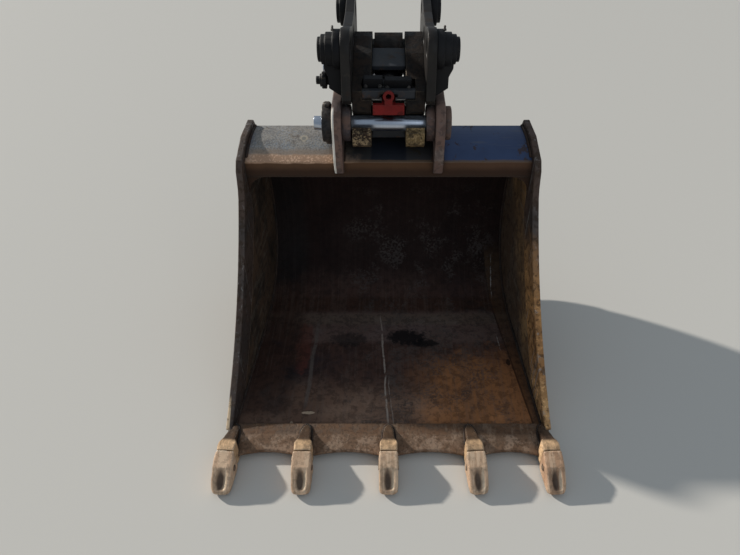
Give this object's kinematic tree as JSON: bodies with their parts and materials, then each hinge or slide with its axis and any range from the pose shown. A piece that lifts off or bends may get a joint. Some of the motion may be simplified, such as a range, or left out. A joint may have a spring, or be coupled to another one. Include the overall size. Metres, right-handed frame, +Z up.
{
  "type": "excavator bucket with quick coupler",
  "caption": "Toothed digging bucket held by its two pins in a coupler with a fixed front jaw, a moving rear hook and a red front lock.",
  "frame": {"origin": "middle of the bounding box at floor level", "axes": "+X across the bucket to the viewer's right when looking into the mouth, the mouth and teeth face -Y, +Z up"},
  "size_m": [1.0478, 1.2711, 1.087],
  "materials": {
    "shell_steel": "rusted and scoured",
    "edge_steel": "worn bare steel with light rust",
    "beam_paint": "faded blue-grey paint with rust at its lower edge",
    "side_paint": "dark paint, rubbed",
    "bar_steel": "worn steel",
    "wear_steel": "scoured steel",
    "ear_steel": "brown, paint worn off",
    "collar_steel": "dark, greasy",
    "bolt_steel": "plated, dull",
    "pin_steel": "bright ground steel",
    "adapter_steel": "worn cast steel",
    "tooth_steel": "polished by digging, tan",
    "tooth_pin_steel": "dark",
    "coupler_paint": "near black, satin",
    "jaw_steel": "dark with yellow-brown worn lips",
    "cross_paint": "grey",
    "fitting_black": "black",
    "link_pin_steel": "ground steel",
    "hook_steel": "dark cast steel, bright in its mouth",
    "barrel_paint": "black",
    "rod_chrome": "hard chrome",
    "lock_red": "red, scratched"
  },
  "bodies": {
    "bucket_and_coupler": {"shell": "shell_steel", "cutting_edge": "edge_steel", "top_beam": "beam_paint", "side_plate_left": "side_paint", "side_plate_right": "side_paint", "side_bar_left": "bar_steel", "side_bar_right": "bar_steel", "wear_strips": "wear_steel", "side_wear_plates": "wear_steel", "heel_guards": "wear_steel", "ear_left": "ear_steel", "ear_right": "ear_steel", "ear_bosses": "ear_steel", "lift_eye": "ear_steel", "pin_collars": "collar_steel", "collar_bolts": "bolt_steel", "front_pin": "pin_steel", "rear_pin": "pin_steel", "adapter_1": "adapter_steel", "adapter_2": "adapter_steel", "adapter_3": "adapter_steel", "adapter_4": "adapter_steel", "adapter_5": "adapter_steel", "tooth_1": "tooth_steel", "tooth_2": "tooth_steel", "tooth_3": "tooth_steel", "tooth_4": "tooth_steel", "tooth_5": "tooth_steel", "tooth_pins": "tooth_pin_steel", "cheek_left": "coupler_paint", "cheek_right": "coupler_paint", "cheek_bosses": "coupler_paint", "valve_block": "coupler_paint", "jaw_left": "jaw_steel", "jaw_right": "jaw_steel", "cross_members": "cross_paint", "hose_fittings": "fitting_black", "hook_pin": "link_pin_steel", "cylinder_pin": "link_pin_steel", "lock_pin": "link_pin_steel"},
    "hook": {"hook": "hook_steel", "rod_pin": "link_pin_steel"},
    "barrel": {"barrel": "barrel_paint"},
    "rod": {"rod": "rod_chrome"},
    "front_lock": {"front_lock": "lock_red"}
  },
  "joints": [
    {"name": "hook_turn", "type": "hinge", "parent": "bucket_and_coupler", "child": "hook", "pos_m": [0, 0.4808, 0.937], "axis": [-1, 0, 0], "range_deg": [0, 32]},
    {"name": "barrel_turn", "type": "hinge", "parent": "bucket_and_coupler", "child": "barrel", "pos_m": [0, 0.2728, 0.875], "axis": [1, 0, 0], "range_deg": [0, 6.41]},
    {"name": "rod_slide", "type": "slide", "parent": "barrel", "child": "rod", "axis": [0, -0.9985, 0.0553], "range_m": [0, 0.037]},
    {"name": "lock_turn", "type": "hinge", "parent": "bucket_and_coupler", "child": "front_lock", "pos_m": [0, 0.2228, 0.862], "axis": [-1, 0, 0], "range_deg": [0, 18]}
  ],
  "couplings": [
    {"joint": "barrel_turn", "follows": "hook_turn", "ratio": 0.19862},
    {"joint": "rod_slide", "follows": "hook_turn", "m_per_rad": 0.065817}
  ]
}
